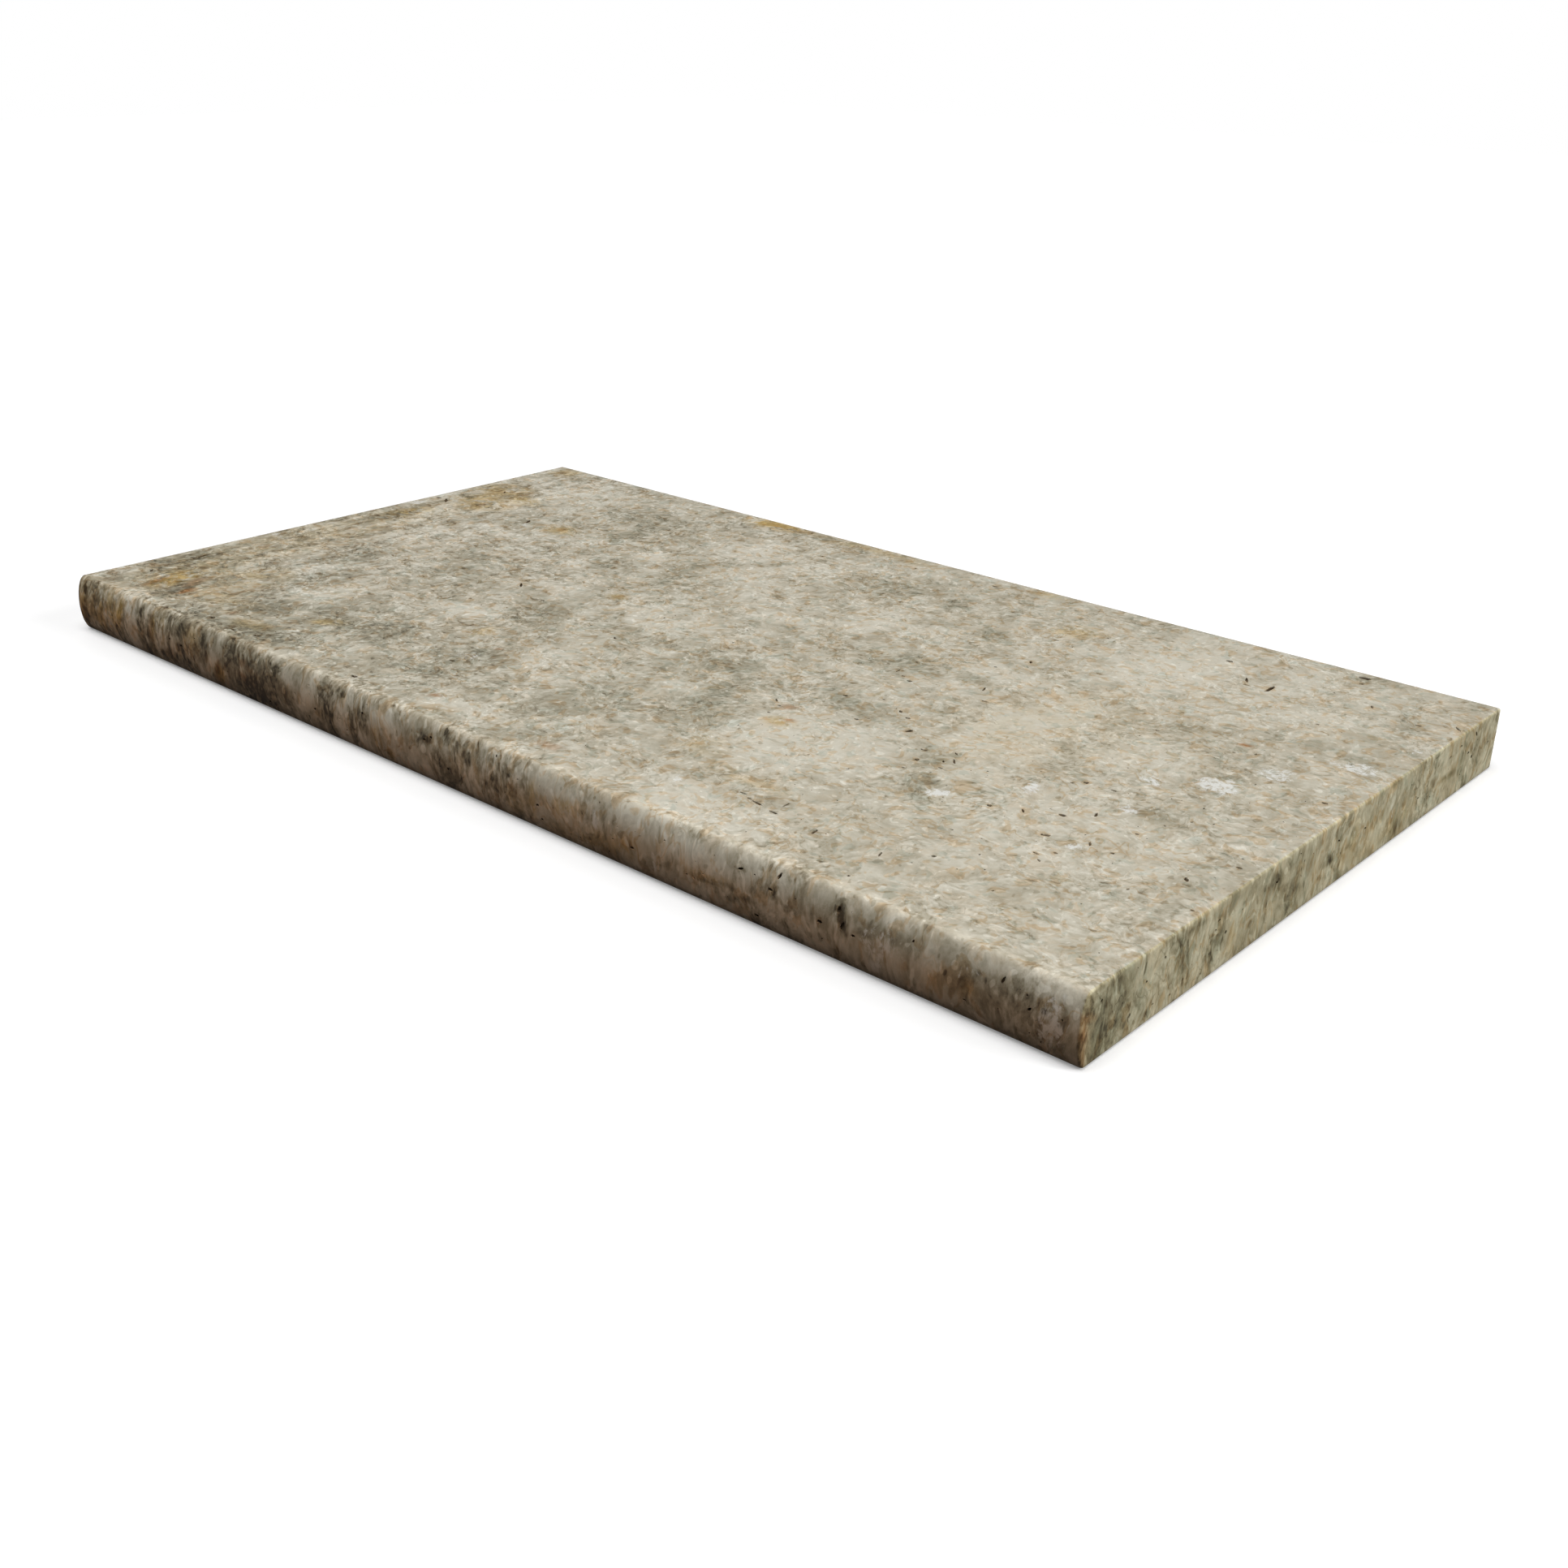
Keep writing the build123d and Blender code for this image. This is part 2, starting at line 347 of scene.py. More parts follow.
def sawn_block():
    """The stone before its pits: a block with a rounded nose and eased edges."""
    flat_front = LOW.y + NOSE_DEPTH * MM
    middle = ((LOW.x + HIGH.x) / 2, (flat_front + HIGH.y) / 2, (LOW.z + HIGH.z) / 2)
    bpy.ops.mesh.primitive_cube_add(size=1, location=middle)
    block = bpy.context.object
    block.scale = (HIGH.x - LOW.x, HIGH.y - flat_front, HIGH.z - LOW.z)
    bpy.ops.object.transform_apply(location=True, rotation=True, scale=True)
    rounded_nose(block)
    eased_edges(block)
    painted_grid(block)
    return block


# The pits are cut by rough lumps, each set half into the face that it opens


def rough_lump(name, subdivisions, roughness, seed):
    """A lump of radius 1 m with an uneven skin, for copies to be drawn from."""
    bpy.ops.mesh.primitive_ico_sphere_add(subdivisions=subdivisions, radius=1)
    lump = bpy.context.object
    lump.name = name
    edit(lump, "VERT")
    bpy.ops.mesh.select_all(action="SELECT")
    bpy.ops.transform.vertex_random(offset=roughness, seed=seed)
    leave_edit()
    return lump


def set_lump(master, place, normal, length, width, depth, turn):
    """Sets a copy of a lump at a place in millimetres, with its depth along the face's normal."""
    lump = master.copy()
    lump.data = master.data.copy()
    bpy.context.collection.objects.link(lump)
    sizes = Matrix.Diagonal((length / 2 * MM, width / 2 * MM, depth * MM, 1))
    facing = Vector(normal).to_track_quat("Z", "Y").to_matrix().to_4x4()
    about = Matrix.Rotation(math.radians(turn), 4, "Z")
    lump.data.transform(Matrix.Translation(LOW + Vector(place) * MM) @ facing @ about @ sizes)
    return lump


# Which way each face of the stone looks, and its two sizes
FACES = {
    "top": (0, 0, 1), "bed": (0, 0, -1), "nose": (0, -1, 0), "back": (0, 1, 0), "near_end": (1, 0, 0),
    "far_end": (-1, 0, 0),
}
FACE_SIZES = {
    "top": (LENGTH, DEPTH), "bed": (LENGTH, DEPTH), "nose": (LENGTH, THICKNESS), "back": (LENGTH, THICKNESS),
    "near_end": (DEPTH, THICKNESS), "far_end": (DEPTH, THICKNESS),
}


def nose_line(up):
    """How far back the rounded nose lies at a height."""
    rise = 2 * up / THICKNESS - 1
    return NOSE_DEPTH * (1 - math.sqrt(max(0, 1 - rise * rise)))


def place_on(face, first, second):
    """The place in millimetres of two measures along a face."""
    places = {
        "top": (first, second, THICKNESS), "bed": (first, second, 0),
        "nose": (first, nose_line(second), second), "back": (first, DEPTH, second),
        "near_end": (LENGTH, first, second), "far_end": (0, first, second),
    }
    return places[face]


PIT_SPREAD = 1.25        # an uneven lump opens a pit a little shorter than itself
PIT_ROUGHNESS = 0.42
PIT_DEPTHS = (0.9, 1.3)  # the least and the most, as parts of the width
LUMP_KINDS = 3           # how many lumps the pits are drawn from, and how many the pores

# The small pores, in millimetres
SMALL_PORES = {"top": 260, "bed": 60, "nose": 70, "back": 40, "near_end": 36, "far_end": 30}
PORE_ROUGHNESS = 0.15
PORE_LEAST = 0.7
PORE_MOST = 2.6
PORE_FALL = 2.2          # the higher, the fewer long pores there are
PORE_WIDTHS = (0.4, 0.9)     # the least and the most, as parts of the length
PORE_DEPTHS = (0.9, 1.4)     # the same, as parts of the width
PORE_EDGE = 3.0          # how far the pores keep from the edges
PORE_GAP = 1.6           # the least gap between two pores
PORE_ODDS = 0.25         # the least share of the tries that is kept
CROWD_ON_TOP = ((520, 105), (90, 60))   # where the top has most pores, and how far that reaches
CROWD_ELSEWHERE = 0.3    # the further share that is kept on the other faces


def crowding(face, first, second):
    """The further share of the tries at small pores that is kept at a place."""
    if face != "top":
        return CROWD_ELSEWHERE
    (across, back), (wide, deep) = CROWD_ON_TOP
    return math.exp(-((first - across) / wide) ** 2 - ((second - back) / deep) ** 2)


def too_near(face, first, second, length, taken):
    """Whether a pore would come too close to a pit or pore that is there already."""
    return any(other == face and math.hypot(first - a, second - b) < reach + length / 2 + PORE_GAP
               for other, a, b, reach in taken)


def small_pores(dice, taken):
    """Small pores at random on every face, closest together where the photograph has most."""
    pores = []
    for face, count in SMALL_PORES.items():
        wide, high = FACE_SIZES[face]
        made = 0
        while made < count:
            first = dice.uniform(PORE_EDGE, wide - PORE_EDGE)
            second = dice.uniform(PORE_EDGE, high - PORE_EDGE)
            length = PORE_LEAST + dice.expovariate(PORE_FALL)
            if length > PORE_MOST or too_near(face, first, second, length, taken):
                continue
            if dice.random() > PORE_ODDS + crowding(face, first, second):
                continue
            taken.append((face, first, second, length / 2))
            width = length * dice.uniform(*PORE_WIDTHS)
            pores.append((face, first, second, length, width, dice.uniform(0, 180)))
            made += 1
    return pores


def pit_cutter():
    """All lumps that open pits in the stone, joined into one piece."""
    dice = random.Random(7)
    large = [rough_lump(f"pit_lump_{i}", 2, PIT_ROUGHNESS, i) for i in range(LUMP_KINDS)]
    small = [rough_lump(f"pore_lump_{i}", 1, PORE_ROUGHNESS, i) for i in range(LUMP_KINDS)]
    lumps = []
    taken = []
    for face, pits in (("top", PITS_ON_TOP), ("nose", PITS_ON_NOSE), ("near_end", PITS_ON_END)):
        for first, second, length, width, turn in pits:
            depth = width * dice.uniform(*PIT_DEPTHS)
            place = place_on(face, first, second)
            spread = PIT_SPREAD * length
            lumps.append(set_lump(dice.choice(large), place, FACES[face], spread, width, depth, turn))
            taken.append((face, first, second, length / 2))
    for face, first, second, length, width, turn in small_pores(dice, taken):
        depth = width * dice.uniform(*PORE_DEPTHS)
        place = place_on(face, first, second)
        lumps.append(set_lump(dice.choice(small), place, FACES[face], length, width, depth, turn))
    for master in large + small:
        bpy.data.objects.remove(master)
    bpy.ops.object.select_all(action="DESELECT")
    for lump in lumps:
        lump.select_set(True)
    bpy.context.view_layer.objects.active = lumps[0]
    bpy.ops.object.join()
    return bpy.context.object


def open_pits(stone):
    """Cuts the pits into the stone."""
    cutter = pit_cutter()
    bpy.ops.object.select_all(action="DESELECT")
    bpy.context.view_layer.objects.active = stone
    stone.select_set(True)
    bpy.ops.object.modifier_add(type="BOOLEAN")
    cut = stone.modifiers[-1]
    cut.operation = "DIFFERENCE"
    cut.solver = "EXACT"
    cut.object = cutter
    bpy.ops.object.modifier_apply(modifier=cut.name)
    bpy.data.objects.remove(cutter)


# Paint, kept as one number for each point of the stone


def places_in_millimetres(piece):
    """The points of a piece in millimetres from the far left corner at the bed."""
    places = np.empty(len(piece.data.vertices) * 3)
    piece.data.vertices.foreach_get("co", places)
    return (places.reshape(-1, 3) - np.array(LOW)) / MM


def swayed(places, sways):
    """The places pushed about a little, so that what is painted there has no even outline."""
    for size, reach in sways:
        push = [ripple.noise_vector(Vector(place) / size) for place in places]
        places = places + reach * np.array(push)
    return places


def smooth_step(values, low, high):
    share = np.clip((values - low) / (high - low), 0, 1)
    return share * share * (3 - 2 * share)


def stained_rims(pits):
    """A brown rim round every pit, as rows of soft patches."""
    return [(first, second, length / 2 + RIM, width / 2 + RIM, turn, 1.0)
            for first, second, length, width, turn in pits]


def soft_patches(places, rows, upright):
    """All patches of one kind added up, on the top or upright on the sides."""
    total = np.zeros(len(places))
    for first, second, half_length, half_width, turn, strength in rows:
        if upright:
            along, beside = places[:, 0] - first, places[:, 2] - second
            into = places[:, 1] / SIDE_PATCH_DEPTH
        else:
            along, beside = places[:, 0] - first, places[:, 1] - second
            into = (places[:, 2] - THICKNESS) / TOP_PATCH_DEPTH
        cosine, sine = math.cos(math.radians(turn)), math.sin(math.radians(turn))
        turned = (along * cosine + beside * sine) / half_length
        aside = (beside * cosine - along * sine) / half_width
        away = np.sqrt(turned ** 2 + aside ** 2 + into ** 2)
        total += strength * (1 - smooth_step(away, *PATCH_EDGE))
    return total


def depth_below_skin(places):
    """How deep each point lies below the stone's unpitted skin, in millimetres."""
    across, back, up = places.T
    from_middle = (NOSE_DEPTH - back) / NOSE_DEPTH
    rise = 2 * up / THICKNESS - 1
    round_share = np.hypot(from_middle, rise)
    slope = np.hypot(from_middle / NOSE_DEPTH, rise * 2 / THICKNESS) / np.maximum(round_share, 1e-6)
    under_nose = (1 - round_share) / np.maximum(slope, 1e-6)
    flat = np.minimum(THICKNESS - up, up)
    skin = np.where(back < NOSE_DEPTH, under_nose, flat)
    walls = np.sort(np.stack([skin, across, LENGTH - across, DEPTH - back]), axis=0)
    first, second = walls[0], walls[1]
    in_arris = second < ARRIS
    eased = ARRIS - np.hypot(ARRIS - first, ARRIS - second)
    return np.maximum(np.where(in_arris, eased, first), 0)


def keep_paint(piece, name, values):
    layer = piece.data.attributes.new(name, "FLOAT", "POINT")
    layer.data.foreach_set("value", values.astype(np.float32))


def paint(stone):
    """Paints the beds of the stone, its stains and chalk, and how deep its pit walls lie."""
    places = places_in_millimetres(stone)
    keep_paint(stone, "depth", depth_below_skin(places))
    at_end = places[:, 0] > LENGTH - ARRIS / 2
    sides = places.copy()
    sides[at_end, 0] = BEDS_START + BEDS_STRETCH * places[at_end, 1]
    sides[at_end, 1] = LENGTH - places[at_end, 0]
    ripple.seed_set(SWAY_SEED)
    top_places = swayed(places, TOP_SWAYS)
    side_places = swayed(sides, SIDE_SWAYS)
    for name, (top_rows, side_rows) in PATCHES.items():
        nose_strength, end_strength = SIDE_STRENGTHS[name]
        side_strength = np.where(at_end, end_strength, nose_strength)
        side_paint = side_strength * soft_patches(side_places, side_rows, True)
        keep_paint(stone, name, soft_patches(top_places, top_rows, False) + side_paint)
    rims_on_top = soft_patches(places, stained_rims(PITS_ON_TOP), False)
    rims_on_nose = soft_patches(places, stained_rims(PITS_ON_NOSE), True)
    keep_paint(stone, "stain", rims_on_top + rims_on_nose)


# Materials


def node(tree, kind, inputs=None, **settings):
    """Adds a node, sets it and joins its inputs, each given by name or number as a value or a socket."""
    made = tree.nodes.new("ShaderNode" + kind)
    for name, value in settings.items():
        setattr(made, name, value)
    for name, value in (inputs or {}).items():
        if isinstance(value, bpy.types.NodeSocket):
            tree.links.new(value, made.inputs[name])
        else:
            made.inputs[name].default_value = value
    return made


def maths(tree, operation, *values):
    return node(tree, "Math", dict(enumerate(values)), operation=operation).outputs[0]


def in_millimetres(tree):
    """The place on the stone in millimetres from its far left corner at the bed."""
    place = node(tree, "TexCoord").outputs["Object"]
    corner = tuple(-low / MM for low in LOW)
    scale = (1 / MM,) * 3
    return node(tree, "Mapping", {"Vector": place, "Location": corner, "Scale": scale}).outputs[0]


def painted(tree, name):
    return node(tree, "Attribute", attribute_name=name).outputs["Fac"]


def noise(tree, place, size, detail=2.0, roughness=0.6):
    """Even noise from 0 to 1 with lumps of about the given size in millimetres."""
    inputs = {"Vector": place, "Scale": 1 / size, "Detail": detail, "Roughness": roughness}
    return node(tree, "TexNoise", inputs)


def swing(tree, place, size, reach, detail=1.0):
    """A push to and fro of up to the reach, that changes over the given size."""
    push = noise(tree, place, size, detail).outputs["Color"]
    centred = node(tree, "VectorMath", {0: push, 1: (0.5, 0.5, 0.5)}, operation="SUBTRACT").outputs[0]
    return node(tree, "VectorMath", {0: centred, "Scale": 2 * reach}, operation="SCALE").outputs[0]


def together(tree, first, second):
    return node(tree, "VectorMath", {0: first, 1: second}, operation="ADD").outputs[0]


def step_between(tree, value, low, high, bottom=0.0, top=1.0):
    """A soft step from bottom to top as the value goes from low to high."""
    inputs = {"Value": value, "From Min": low, "From Max": high, "To Min": bottom, "To Max": top}
    return node(tree, "MapRange", inputs, interpolation_type="SMOOTHSTEP").outputs[0]


def mixed(tree, share, first, second, blend="MIX"):
    inputs = {0: share, 6: first, 7: second}
    return node(tree, "Mix", inputs, data_type="RGBA", blend_type=blend).outputs[2]


# The travertine

# The noises in the stone: size in millimetres, detail and roughness
NOISES = {
    "clouds": (50, 2, 0.7),
    "zones": (26, 2, 0.6),
    "small_clots": (4, 1, 0.6),
    "grain": (2.4, 4, 0.75),
    "flecks": (6, 2, 0.6),
    "bends": (11, 2, 0.5),
    "specks": (2.8, 0, 0.6),
    "streaks": (6, 3, 0.6),
    "hues": (10, 4, 0.8),
    "crumbs": (2.6, 3, 0.75),
}

# Where a form begins and where it is full, on its noise or its place, and then its value at both if these
# aren't 0 and 1
STEPS = {
    "busy": (0.36, 0.62, 0.45, 1.5),
    "small_clots": (0.42, 0.58),
    "slate": (0.57, 0.65),
    "tan": (0.56, 0.64),
    "pale": (0.6, 0.68),
    "lined_zone": (0.46, 0.6),
    "lines_off_nose": (0, 1, 1, 0.25),
    "pale_specks": (0.69, 0.76),
    "dark_specks": (0.71, 0.78),
    "ring": (0.2, 0.8, 1, 0),
    "streaks": (0.42, 0.58),
    "streaks_across": (150, 20),
    "contrast_across": (60, 520, 0.86, 0.62),
    "contrast_back": (14, 3, 0, 0.3),
    "nose_back": (12, 2),
    # painted highlight: where the paler sheen on the upper nose begins and where it is full
    "high_nose_up": (18, 27),
    # painted shade: how high up and how far back the brown shade low on the nose reaches
    "nose_shade_up": (26, 11),
    "nose_shade_back": (6, 2),
    "cool_off_nose": (0, 1, 1, 0.2),
    "warm_hue": (0.46, 0.62),
    "ochre_hue": (0.36, 0.56),
    "chalk": (0.4, 0.95, 0, 0.9),
    # dirt and painted shade in the pits, by depth below the skin
    "dirt_and_shade_in_pits": (0.05, 0.8),
}

# The layers of the stone's tone and of its chalk: the value of each that changes nothing, and its weight
WEIGHTS = {
    "clouds": (0.5, 0.17),
    "cream": (0.2, 0.06),
    "grey": (0.18, -0.08),
    "stain": (0, -0.05),
    "fine": (0, 0.108),
    "slate": (0.1, -0.08),
    "tan": (0.1, -0.07),
    "pale": (0.1, 0.09),
    "dark_lines": (0, -0.19),
    "pale_lines": (0, 0.16),
    "tan_lines": (0, -0.09),
    "pale_specks": (0, 0.22),
    "dark_specks": (0, -0.2),
    "rings": (0, -0.14),
    "streaks": (0, 0.2),
    # painted highlight on the upper nose
    "high_nose": (0, 0.075),
    "chalk": (0, 1.0),
    "crumbs": (0.5, 2.2),
}

# The clots of the stone: size, detail, how softly they end, how far they follow the paint, and their weight
CLOTS = ((20, 2, 0.09, 0.17, 0.12), (9, 2, 0.08, 0.13, 0.14))

# Where the beds curl about a centre: its place in the stone's drawn millimetres, and the rings' two radii
EYES = (
    ((494, 90, 16), 7, 22), ((488, 8, 14), 3, 8), ((227, 2, 7), 8, 17), ((610, 72, 8), 9, 18),
    ((392, 24, 16), 6, 14),
)
RING_GAP = 3.4
RING_FADES = (2, 4)      # over how far the rings come in and go out

# The colour of the stone from its darkest tone to its palest
STONE_TONES = (
    (0.0, srgb(80, 73, 60)), (0.2, srgb(128, 120, 102)), (0.34, srgb(153, 146, 127)),
    (0.5, srgb(179, 173, 156)), (0.64, srgb(197, 192, 177)), (0.8, srgb(214, 210, 196)),
    (1.0, srgb(222, 219, 208)),
)
TINTS = {
    "cool": srgb(246, 252, 254),
    "tan": srgb(255, 243, 229),
    "warm": srgb(255, 250, 245),
    "ochre": srgb(240, 214, 158),
    "rust": srgb(218, 164, 112),
    "nose": srgb(255, 251, 245),
    # the tint of the painted shade low on the nose
    "nose_shade": srgb(255, 228, 210),
    "end": srgb(255, 252, 232),
}
CHALK_WHITE = srgb(215, 215, 210)
# the brown of the pits: partly dirt, partly painted shade in the hollows
PIT_DIRT_AND_SHADE = srgb(98, 82, 62)

UPRIGHT_DRAW = (1, 1, 0.55)          # the beds stand taller than they are wide
LONG_DRAW = (1, 0.25, 0.6)           # the streaks run from front to back
BED_SWING = (30, 7, 2)               # size, reach and detail
RAGGED_SWING = (9, 3.4, 2)
LINE_WIDTHS = {"dark": 0.015, "pale": 0.016, "tan": 0.028}     # on the values of their noise
BUSY_LEAN = -0.08                    # cream ground is calmer than grey
SLATE_BY_GREY = 0.08
TAN_BY_STAIN = 0.1
COOL_BY_GREY = 0.4
GRAIN_SHARE = 5.5                    # the grain against the small clots
BUSIER_SIDES = 0.4
END_CONTRAST = 0.2
HONED_ROUGHNESS = 0.5
HONED_GLOSS = 0.25


def stone_noise(tree, place, name):
    return noise(tree, place, *NOISES[name]).outputs[0]


def three_noises(tree, place, name):
    """One of the stone's noises in three kinds, which don't follow each other."""
    return node(tree, "SeparateColor", {0: noise(tree, place, *NOISES[name]).outputs["Color"]}).outputs


def stepped(tree, name, value):
    return step_between(tree, value, *STEPS[name])


def weighed(tree, value, layer, middle, weight):
    """The value with a layer added, which changes nothing where the layer is at its middle."""
    return maths(tree, "ADD", value, maths(tree, "MULTIPLY_ADD", layer, weight, -middle * weight))


def added(tree, value, **layers):
    """The value with layers added, each with the weight that stands under its name."""
    for name, layer in layers.items():
        value = weighed(tree, value, layer, *WEIGHTS[name])
    return value


def tinted(tree, share, colour, name):
    return mixed(tree, share, colour, TINTS[name], "MULTIPLY")


def tone_ramp(tree, tone):
    ramp = node(tree, "ValToRGB", {"Fac": tone})
    first, last = ramp.color_ramp.elements
    first.position, first.color = STONE_TONES[0]
    last.position, last.color = STONE_TONES[-1]
    for position, colour in STONE_TONES[1:-1]:
        ramp.color_ramp.elements.new(position).color = colour
    return ramp.outputs[0]


def stone_beds(tree, place):
    """Places that follow the stone's beds, and places that follow their ragged edges too."""
    drawn = node(tree, "VectorMath", {0: place, 1: UPRIGHT_DRAW}, operation="MULTIPLY").outputs[0]
    beds = together(tree, drawn, swing(tree, drawn, *BED_SWING))
    return beds, together(tree, beds, swing(tree, beds, *RAGGED_SWING))


def clotted(tree, tone, ragged, lean):
    """The tone with the stone's clots, which lean to cream or grey as the paint does."""
    for size, detail, soft, leaning, weight in CLOTS:
        clots = maths(tree, "MULTIPLY_ADD", lean, leaning, noise(tree, ragged, size, detail).outputs[0])
        tone = weighed(tree, tone, step_between(tree, clots, 0.5 - soft, 0.5 + soft), 0.5, weight)
    return tone


def fine_grain(tree, beds, ragged, busy, on_side):
    """Small clots and grain, stronger where the stone is busy and on the sides."""
    small = stepped(tree, "small_clots", stone_noise(tree, ragged, "small_clots"))
    small = maths(tree, "SUBTRACT", small, 0.5)
    grain = maths(tree, "SUBTRACT", stone_noise(tree, beds, "grain"), 0.5)
    fine = maths(tree, "MULTIPLY_ADD", grain, GRAIN_SHARE, small)
    return maths(tree, "MULTIPLY", fine, maths(tree, "MULTIPLY_ADD", on_side, BUSIER_SIDES, busy))


def winding_line(tree, bend, width, zone):
    """A thin line that winds along the middle of a noise, in some zones of the stone only."""
    offset = maths(tree, "ABSOLUTE", maths(tree, "SUBTRACT", bend, 0.5))
    line = step_between(tree, offset, width / 4, width, 1, 0)
    return maths(tree, "MULTIPLY", line, stepped(tree, "lined_zone", zone))


def winding_lines(tree, ragged, zones, on_nose):
    """Dark, pale and tan lines, of which the first two are faint on the nose."""
    bends = three_noises(tree, ragged, "bends")
    dark = winding_line(tree, bends[0], LINE_WIDTHS["dark"], zones[0])
    pale = winding_line(tree, bends[1], LINE_WIDTHS["pale"], zones[1])
    tan = winding_line(tree, bends[2], LINE_WIDTHS["tan"], zones[2])
    off_nose = stepped(tree, "lines_off_nose", on_nose)
    return maths(tree, "MULTIPLY", dark, off_nose), maths(tree, "MULTIPLY", pale, off_nose), tan


def fine_rings(tree, place, centre, inner, outer):
    """Fine rings about a centre, between two radii in millimetres."""
    away = node(tree, "VectorMath", {0: place, 1: centre}, operation="DISTANCE").outputs["Value"]
    ring = stepped(tree, "ring", maths(tree, "PINGPONG", away, RING_GAP / 2))
    coming, going = RING_FADES
    past_inner = step_between(tree, away, inner, inner + coming)
    within_outer = step_between(tree, away, outer, outer - going)
    return maths(tree, "MULTIPLY", ring, maths(tree, "MULTIPLY", past_inner, within_outer))


def long_streaks(tree, ragged, across):
    """Streaks from front to back, near the far end only."""
    long_beds = node(tree, "VectorMath", {0: ragged, 1: LONG_DRAW}, operation="MULTIPLY").outputs[0]
    streaks = stepped(tree, "streaks", stone_noise(tree, long_beds, "streaks"))
    streaks = maths(tree, "SUBTRACT", streaks, 0.5)
    return maths(tree, "MULTIPLY", streaks, stepped(tree, "streaks_across", across))


def with_contrast(tree, tone, across, back, at_end):
    """The tone with its contrast, which falls along the stone and is higher on the nose and near end."""
    along = stepped(tree, "contrast_across", across)
    strength = maths(tree, "ADD", along, stepped(tree, "contrast_back", back))
    strength = maths(tree, "MULTIPLY_ADD", at_end, END_CONTRAST, strength)
    return maths(tree, "MULTIPLY_ADD", maths(tree, "SUBTRACT", tone, 0.5), strength, 0.5)


def stained(tree, colour, ragged):
    """The colour with its warm parts, its ochre and rust, and the chalk on it."""
    hues = three_noises(tree, ragged, "hues")
    colour = tinted(tree, stepped(tree, "warm_hue", hues[1]), colour, "warm")
    ochre = maths(tree, "MULTIPLY", painted(tree, "ochre"), stepped(tree, "ochre_hue", hues[2]))
    colour = tinted(tree, ochre, colour, "ochre")
    colour = tinted(tree, painted(tree, "rust"), colour, "rust")
    crumbs = stone_noise(tree, ragged, "crumbs")
    chalk = added(tree, 0.0, chalk=painted(tree, "chalk"), crumbs=crumbs)
    return mixed(tree, stepped(tree, "chalk", chalk), colour, CHALK_WHITE)


def with_sides_and_pits(tree, colour, back, up, on_nose, at_end):
    """The colour with a warmer nose, painted brown shade low down on the nose, a yellower near end, and pits
    browned partly by dirt and partly by painted shade.
    """
    colour = tinted(tree, on_nose, colour, "nose")
    # painted shade: the lower front of the nose is tinted browner, where shade falls under it
    nose_shade = maths(tree, "MULTIPLY", stepped(tree, "nose_shade_back", back), stepped(tree, "nose_shade_up", up))
    colour = tinted(tree, nose_shade, colour, "nose_shade")
    colour = tinted(tree, at_end, colour, "end")
    # the pit walls are browned by depth, partly as dirt and partly as painted shade
    pit_dirt_and_shade = stepped(tree, "dirt_and_shade_in_pits", painted(tree, "depth"))
    return mixed(tree, pit_dirt_and_shade, colour, PIT_DIRT_AND_SHADE)


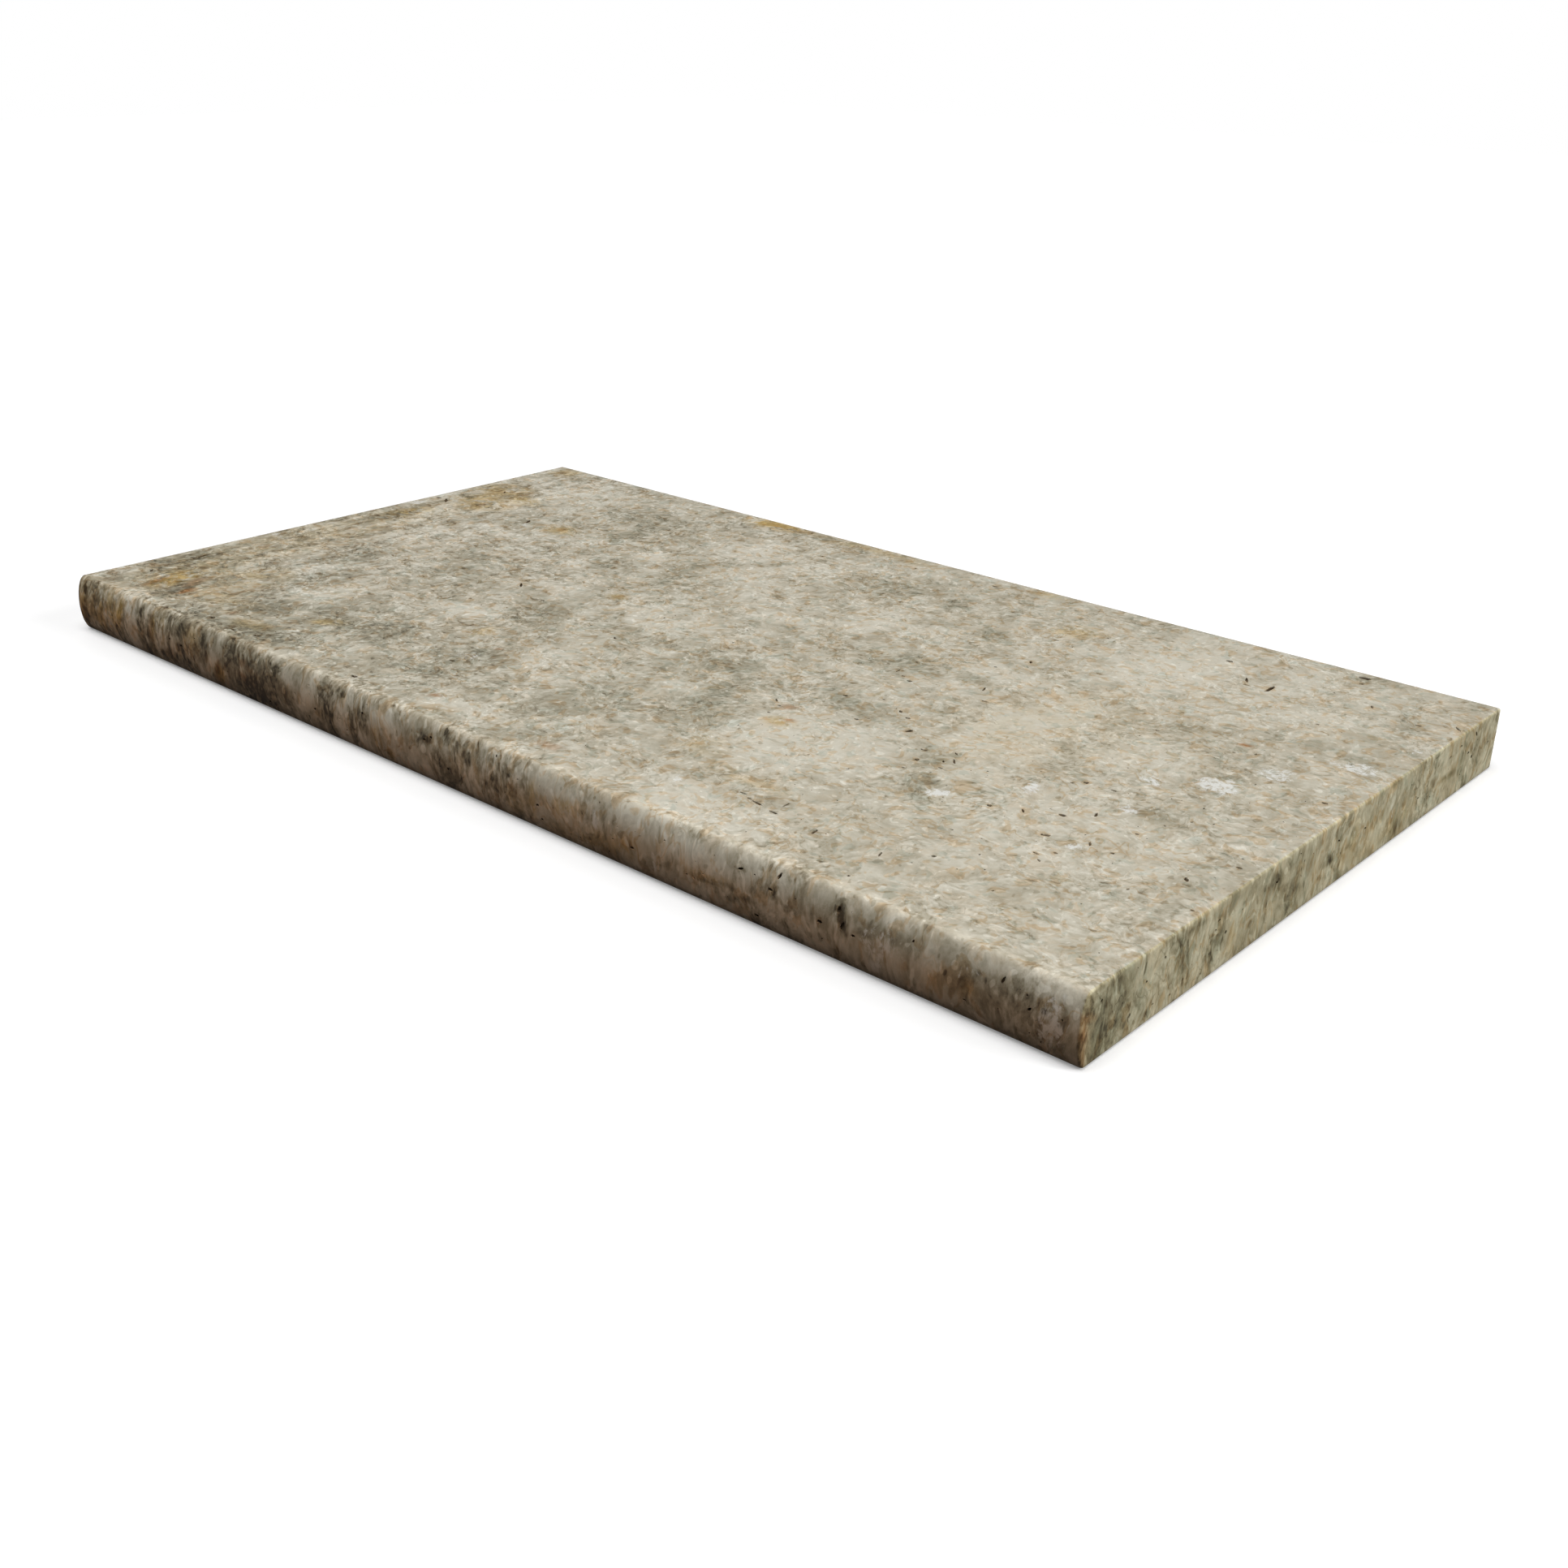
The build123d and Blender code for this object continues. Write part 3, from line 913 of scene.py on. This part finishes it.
def travertine():
    """Honed silver travertine: cream clots in a grey ground, with ochre, rust and chalk here and there."""
    material = bpy.data.materials.new("honed_travertine")
    material.use_nodes = True
    tree = material.node_tree
    place = in_millimetres(tree)
    across, back, up = node(tree, "SeparateXYZ", {0: place}).outputs
    beds, ragged = stone_beds(tree, place)
    cream = painted(tree, "cream")
    grey = painted(tree, "grey")
    stain = painted(tree, "stain")
    lean = maths(tree, "SUBTRACT", cream, grey)

    clouds = stone_noise(tree, beds, "clouds")
    tone = added(tree, 0.5, clouds=clouds, cream=cream, grey=grey, stain=stain)
    tone = clotted(tree, tone, ragged, lean)
    zones = three_noises(tree, beds, "zones")
    busy = stepped(tree, "busy", maths(tree, "MULTIPLY_ADD", lean, BUSY_LEAN, zones[0]))
    at_end = maths(tree, "GREATER_THAN", across, LENGTH - ARRIS / 2)
    on_nose = stepped(tree, "nose_back", back)
    on_side = maths(tree, "MAXIMUM", on_nose, at_end)
    tone = added(tree, tone, fine=fine_grain(tree, beds, ragged, busy, on_side))

    flecks = three_noises(tree, ragged, "flecks")
    slate = stepped(tree, "slate", maths(tree, "MULTIPLY_ADD", grey, SLATE_BY_GREY, flecks[0]))
    tan = stepped(tree, "tan", maths(tree, "MULTIPLY_ADD", stain, TAN_BY_STAIN, flecks[1]))
    pale = stepped(tree, "pale", flecks[2])
    dark_lines, pale_lines, tan_lines = winding_lines(tree, ragged, zones, on_nose)
    specks = three_noises(tree, beds, "specks")
    pale_specks = stepped(tree, "pale_specks", specks[0])
    dark_specks = stepped(tree, "dark_specks", specks[1])
    tone = added(tree, tone, slate=slate, tan=tan, pale=pale, dark_lines=dark_lines, pale_lines=pale_lines,
                 tan_lines=tan_lines, pale_specks=pale_specks, dark_specks=dark_specks)
    for centre, inner, outer in EYES:
        tone = added(tree, tone, rings=fine_rings(tree, ragged, centre, inner, outer))
    tone = added(tree, tone, streaks=long_streaks(tree, ragged, across))
    tone = with_contrast(tree, tone, across, back, at_end)
    # painted highlight: the tone of the upper nose is raised, standing in for the sheen where it turns up to
    # the light
    high_nose = maths(tree, "MULTIPLY", on_nose, stepped(tree, "high_nose_up", up))
    colour = tone_ramp(tree, added(tree, tone, high_nose=high_nose))

    cool = maths(tree, "MULTIPLY_ADD", grey, COOL_BY_GREY, slate)
    cool = maths(tree, "MULTIPLY", cool, stepped(tree, "cool_off_nose", on_nose))
    colour = tinted(tree, cool, colour, "cool")
    colour = tinted(tree, maths(tree, "MAXIMUM", tan, tan_lines), colour, "tan")
    colour = stained(tree, colour, ragged)
    colour = with_sides_and_pits(tree, colour, back, up, on_nose, at_end)
    shader = tree.nodes["Principled BSDF"]
    tree.links.new(colour, shader.inputs["Base Color"])
    shader.inputs["Roughness"].default_value = HONED_ROUGHNESS
    shader.inputs["Specular IOR Level"].default_value = HONED_GLOSS
    return material


def seen(tree):
    """1 for a ray that comes straight from the camera, and 0 for the light on the stone."""
    return node(tree, "LightPath").outputs["Is Camera Ray"]


FLOOR_SIZE = 8           # metres
FLOOR_GAP = 0.2          # millimetres that keep the floor off the bed of the stone
FLOOR_SEEN = (0.8, 0.8, 0.8, 1)          # what the camera sees
FLOOR_DIM = (0.12, 0.12, 0.12, 1)        # what throws light back on the stone
WHITE = (1, 1, 1, 1)

# The glow of the floor as the camera sees it, which rises with the metres from the floor's middle
FLOOR_GLOW = {"From Min": 0.45, "From Max": 1.3, "To Min": 0.25, "To Max": 1.0}


def studio_floor():
    """A pale floor that keeps the stone's shadow and throws little light back under the nose."""
    material = bpy.data.materials.new("pale_floor")
    material.use_nodes = True
    tree = material.node_tree
    tree.nodes.clear()
    lit = node(tree, "BsdfDiffuse", {"Color": FLOOR_SEEN})
    place = node(tree, "TexCoord").outputs["Object"]
    away = node(tree, "VectorMath", {0: place}, operation="LENGTH").outputs["Value"]
    rise = node(tree, "MapRange", {"Value": away, **FLOOR_GLOW})
    glow = node(tree, "Emission", {"Color": WHITE, "Strength": rise.outputs[0]})
    pale = node(tree, "AddShader", {0: lit.outputs[0], 1: glow.outputs[0]})
    dim = node(tree, "BsdfDiffuse", {"Color": FLOOR_DIM})
    shown = node(tree, "MixShader", {0: seen(tree), 1: dim.outputs[0], 2: pale.outputs[0]})
    node(tree, "OutputMaterial", {"Surface": shown.outputs[0]})
    bpy.ops.mesh.primitive_plane_add(size=FLOOR_SIZE, location=(0, 0, LOW.z - FLOOR_GAP * MM))
    floor = bpy.context.object
    floor.name = "studio_floor"
    floor.data.materials.append(material)


WORLD_DIM = 0.02         # what the world adds to the light on the stone


def studio_world():
    """White wherever the camera looks past the floor, and almost no light on the stone."""
    world = bpy.data.worlds.new("studio_white")
    bpy.context.scene.world = world
    world.use_nodes = True
    tree = world.node_tree
    tree.nodes.clear()
    dim = node(tree, "Background", {"Color": WHITE, "Strength": WORLD_DIM})
    white = node(tree, "Background", {"Color": WHITE, "Strength": 1.0})
    shown = node(tree, "MixShader", {0: seen(tree), 1: dim.outputs[0], 2: white.outputs[0]})
    node(tree, "OutputWorld", {"Surface": shown.outputs[0]})


# The lamps: place and size in metres, brightness, and whether the stone's gloss shows them
LAMPS = {
    "overhead_softbox": ((0.15, -0.68, 2.4), 1.8, 5.7, True),
    "right_softbox": ((3.0, 1.2, 1.5), 2.1, 6.4, False),
    "left_softbox": ((-3.3, 1.2, 1.35), 2.1, 2.0, False),
}


def softbox(name, place, size, brightness, in_gloss):
    """A square lamp of even brightness, aimed at the stone."""
    lamp = bpy.data.lights.new(name, "AREA")
    lamp.shape = "SQUARE"
    lamp.size = size
    lamp.energy = brightness * math.pi * size ** 2
    holder = bpy.data.objects.new(name, lamp)
    bpy.context.collection.objects.link(holder)
    holder.location = place
    holder.rotation_euler = Vector(place).to_track_quat("Z", "Y").to_euler()
    holder.visible_glossy = in_gloss


def studio_lamps():
    for name, (place, size, brightness, in_gloss) in LAMPS.items():
        softbox(name, place, size, brightness, in_gloss)


def photograph_camera():
    lens = bpy.data.cameras.new("photograph_camera")
    lens.lens = CAMERA_LENS
    lens.sensor_width = CAMERA_SENSOR
    camera = bpy.data.objects.new("photograph_camera", lens)
    bpy.context.collection.objects.link(camera)
    turn = Matrix.Rotation(math.radians(CAMERA_AZIMUTH), 4, "Z")
    tilt = Matrix.Rotation(math.radians(90 - CAMERA_ELEVATION), 4, "X")
    roll = Matrix.Rotation(math.radians(CAMERA_ROLL), 4, "Z")
    camera.matrix_world = Matrix.Translation(CAMERA_PLACE) @ turn @ tilt @ roll
    bpy.context.scene.camera = camera


stone = sawn_block()
stone.name = "travertine_coping"
stone.data.name = "travertine_coping"
open_pits(stone)
paint(stone)
stone.data.materials.append(travertine())
bpy.ops.object.select_all(action="DESELECT")
bpy.context.view_layer.objects.active = stone
stone.select_set(True)
bpy.ops.object.shade_smooth_by_angle(angle=math.radians(SMOOTH_ANGLE))
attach(stone, "root")
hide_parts("coping_stone")
studio_floor()
studio_world()
studio_lamps()
photograph_camera()
bpy.context.scene.view_settings.view_transform = "Standard"
